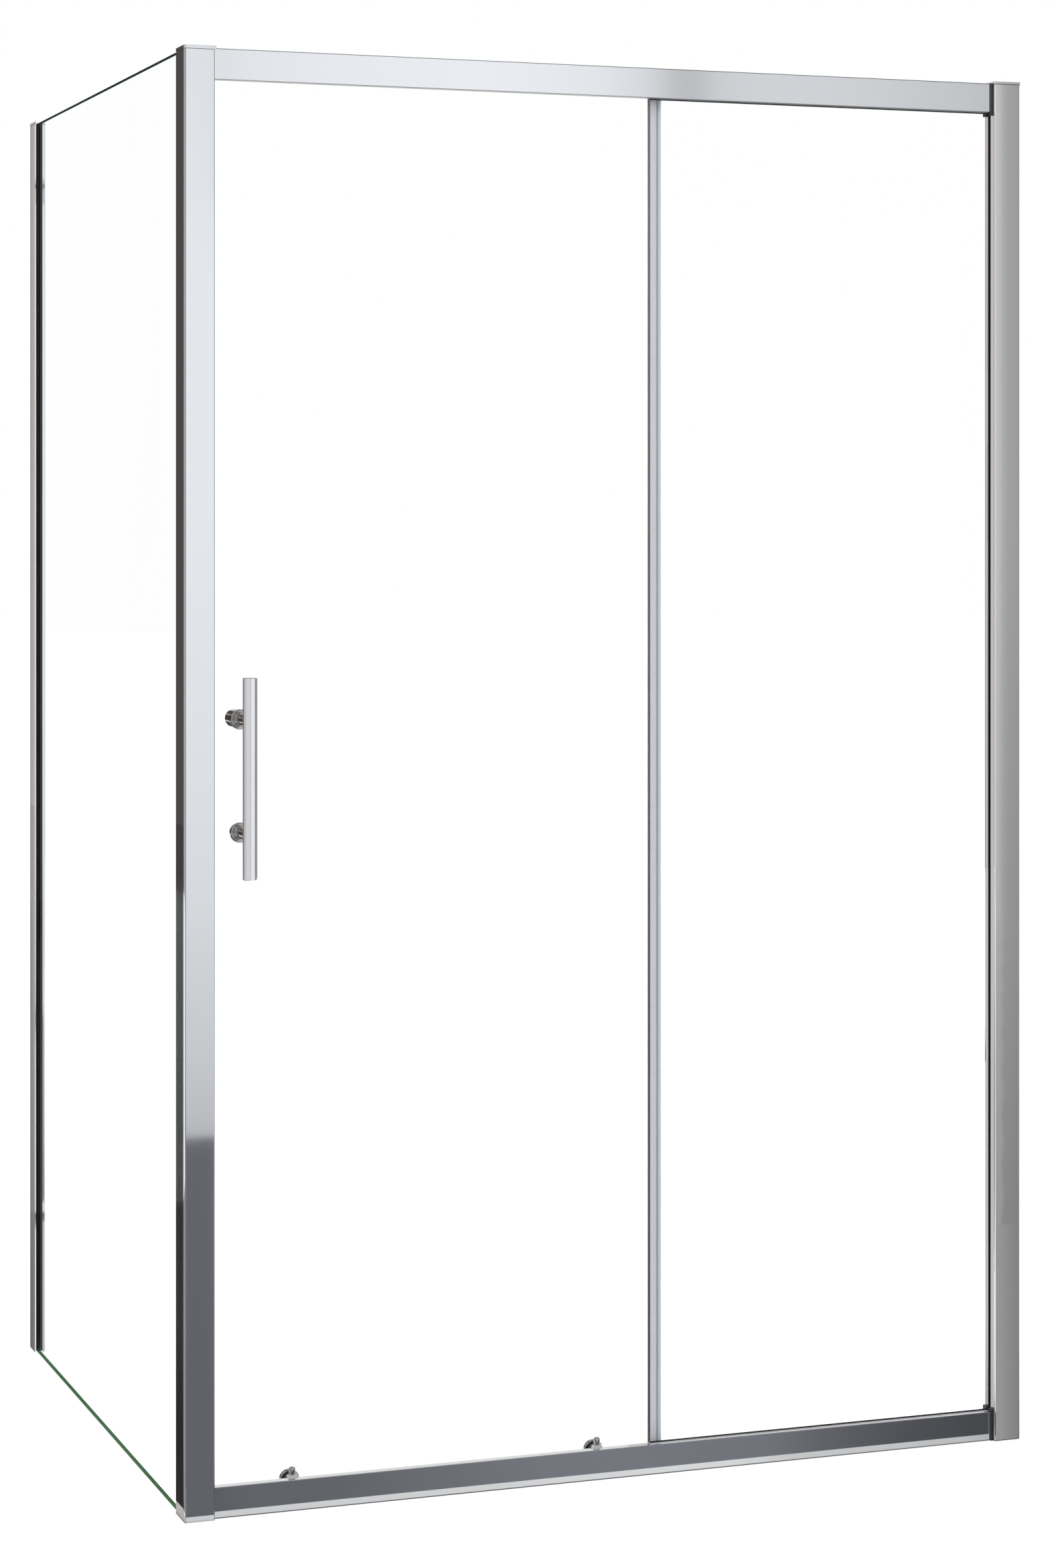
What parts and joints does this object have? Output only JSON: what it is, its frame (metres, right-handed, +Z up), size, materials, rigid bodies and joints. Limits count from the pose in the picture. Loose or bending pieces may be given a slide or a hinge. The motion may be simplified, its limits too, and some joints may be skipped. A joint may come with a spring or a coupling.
{
  "type": "shower enclosure with sliding door",
  "caption": "Corner shower enclosure: a sliding glass door on rollers and a fixed pane between polished rails, a glass side panel, wall profiles and a bar handle.",
  "frame": {"origin": "on the floor, at the middle of the enclosure's bounding box", "axes": "+Z up, +X along the front towards the wall jamb, +Y into the shower"},
  "size_m": [1.2, 1.0245, 1.9],
  "materials": {
    "polished_profile": "bright polished aluminium",
    "plain_aluminium": "satin aluminium",
    "chromed_cap": "chromed plastic",
    "chrome": "bright chrome plate",
    "steel": "stainless steel",
    "clear_glass": "clear toughened glass with green edges",
    "clear_seal": "translucent soft plastic",
    "black_rubber": "matt black rubber",
    "black_plastic": "matt black plastic",
    "light_plastic": "light grey plastic"
  },
  "bodies": {
    "frame": {"corner_post": "polished_profile", "corner_post_cap": "chromed_cap", "post_gasket": "black_rubber", "post_magnet_strip": "clear_seal", "bottom_rail": "polished_profile", "top_rail": "polished_profile", "bottom_end_plate": "black_plastic", "top_end_plate": "black_plastic", "post_brackets": "plain_aluminium", "wall_brackets": "plain_aluminium", "rail_screws": "steel", "jamb_profile": "polished_profile", "wall_channel": "plain_aluminium", "jamb_cap": "chromed_cap", "jamb_gasket": "black_rubber", "jamb_screws": "steel", "fixed_glass": "clear_glass", "glazing_strips": "clear_seal", "side_glass": "clear_glass", "side_profile": "polished_profile", "side_wall_channel": "plain_aluminium", "side_profile_cap": "chromed_cap", "side_gasket": "black_rubber", "side_screws": "steel", "door_stops": "black_rubber"},
    "door": {"door_glass": "clear_glass", "door_magnet_seal": "clear_seal", "door_overlap_seal": "clear_seal", "door_bottom_seal": "clear_seal", "handle_bar": "chrome", "lower_handle_stem": "chrome", "upper_handle_stem": "chrome", "lower_handle_cap": "chrome", "upper_handle_knob": "chrome", "handle_washers": "clear_seal", "handle_studs": "steel", "left_hanger_bracket": "plain_aluminium", "right_hanger_bracket": "plain_aluminium", "hanger_axles": "steel", "hanger_bolts": "steel", "hanger_discs": "chrome", "hanger_washers": "clear_seal", "left_guide_body": "light_plastic", "right_guide_body": "light_plastic", "left_guide_disc": "chrome", "right_guide_disc": "chrome", "guide_gaskets": "black_rubber", "guide_studs": "steel", "left_release_spring": "steel", "right_release_spring": "steel"},
    "left_outer_wheel": {"left_hanger_outer_wheel": "light_plastic"},
    "left_inner_wheel": {"left_hanger_inner_wheel": "light_plastic"},
    "left_release": {"left_release_slider": "light_plastic", "left_release_button": "chrome"},
    "left_lower_wheel": {"left_guide_wheel": "light_plastic"},
    "right_outer_wheel": {"right_hanger_outer_wheel": "light_plastic"},
    "right_inner_wheel": {"right_hanger_inner_wheel": "light_plastic"},
    "right_release": {"right_release_slider": "light_plastic", "right_release_button": "chrome"},
    "right_lower_wheel": {"right_guide_wheel": "light_plastic"}
  },
  "joints": [
    {"name": "door_slide", "type": "slide", "parent": "frame", "child": "door", "axis": [1, 0, 0], "range_m": [0, 0.48]},
    {"name": "left_outer_wheel_spin", "type": "hinge", "parent": "door", "child": "left_outer_wheel", "pos_m": [-0.4695, -0.465, 1.8688], "axis": [0, 1, 0], "continuous": true},
    {"name": "left_inner_wheel_spin", "type": "hinge", "parent": "door", "child": "left_inner_wheel", "pos_m": [-0.4315, -0.465, 1.8688], "axis": [0, 1, 0], "continuous": true},
    {"name": "left_release_press", "type": "slide", "parent": "door", "child": "left_release", "axis": [0, 0, 1], "range_m": [-0.005, 0], "stiffness_N_per_m": 600, "springref_m": 0.006, "deforming": ["left_release_spring"]},
    {"name": "left_lower_wheel_spin", "type": "hinge", "parent": "left_release", "child": "left_lower_wheel", "pos_m": [-0.4505, -0.465, 0.0301], "axis": [0, 1, 0], "continuous": true},
    {"name": "right_outer_wheel_spin", "type": "hinge", "parent": "door", "child": "right_outer_wheel", "pos_m": [-0.0445, -0.465, 1.8688], "axis": [0, 1, 0], "continuous": true},
    {"name": "right_inner_wheel_spin", "type": "hinge", "parent": "door", "child": "right_inner_wheel", "pos_m": [-0.0065, -0.465, 1.8688], "axis": [0, 1, 0], "continuous": true},
    {"name": "right_release_press", "type": "slide", "parent": "door", "child": "right_release", "axis": [0, 0, 1], "range_m": [-0.005, 0], "stiffness_N_per_m": 600, "springref_m": 0.006, "deforming": ["right_release_spring"]},
    {"name": "right_lower_wheel_spin", "type": "hinge", "parent": "right_release", "child": "right_lower_wheel", "pos_m": [-0.0255, -0.465, 0.0301], "axis": [0, 1, 0], "continuous": true}
  ],
  "couplings": [
    {"joint": "left_outer_wheel_spin", "follows": "door_slide", "rad_per_m": 105.26},
    {"joint": "left_inner_wheel_spin", "follows": "door_slide", "rad_per_m": 105.26},
    {"joint": "left_lower_wheel_spin", "follows": "door_slide", "rad_per_m": -125},
    {"joint": "right_outer_wheel_spin", "follows": "door_slide", "rad_per_m": 105.26},
    {"joint": "right_inner_wheel_spin", "follows": "door_slide", "rad_per_m": 105.26},
    {"joint": "right_lower_wheel_spin", "follows": "door_slide", "rad_per_m": -125}
  ]
}
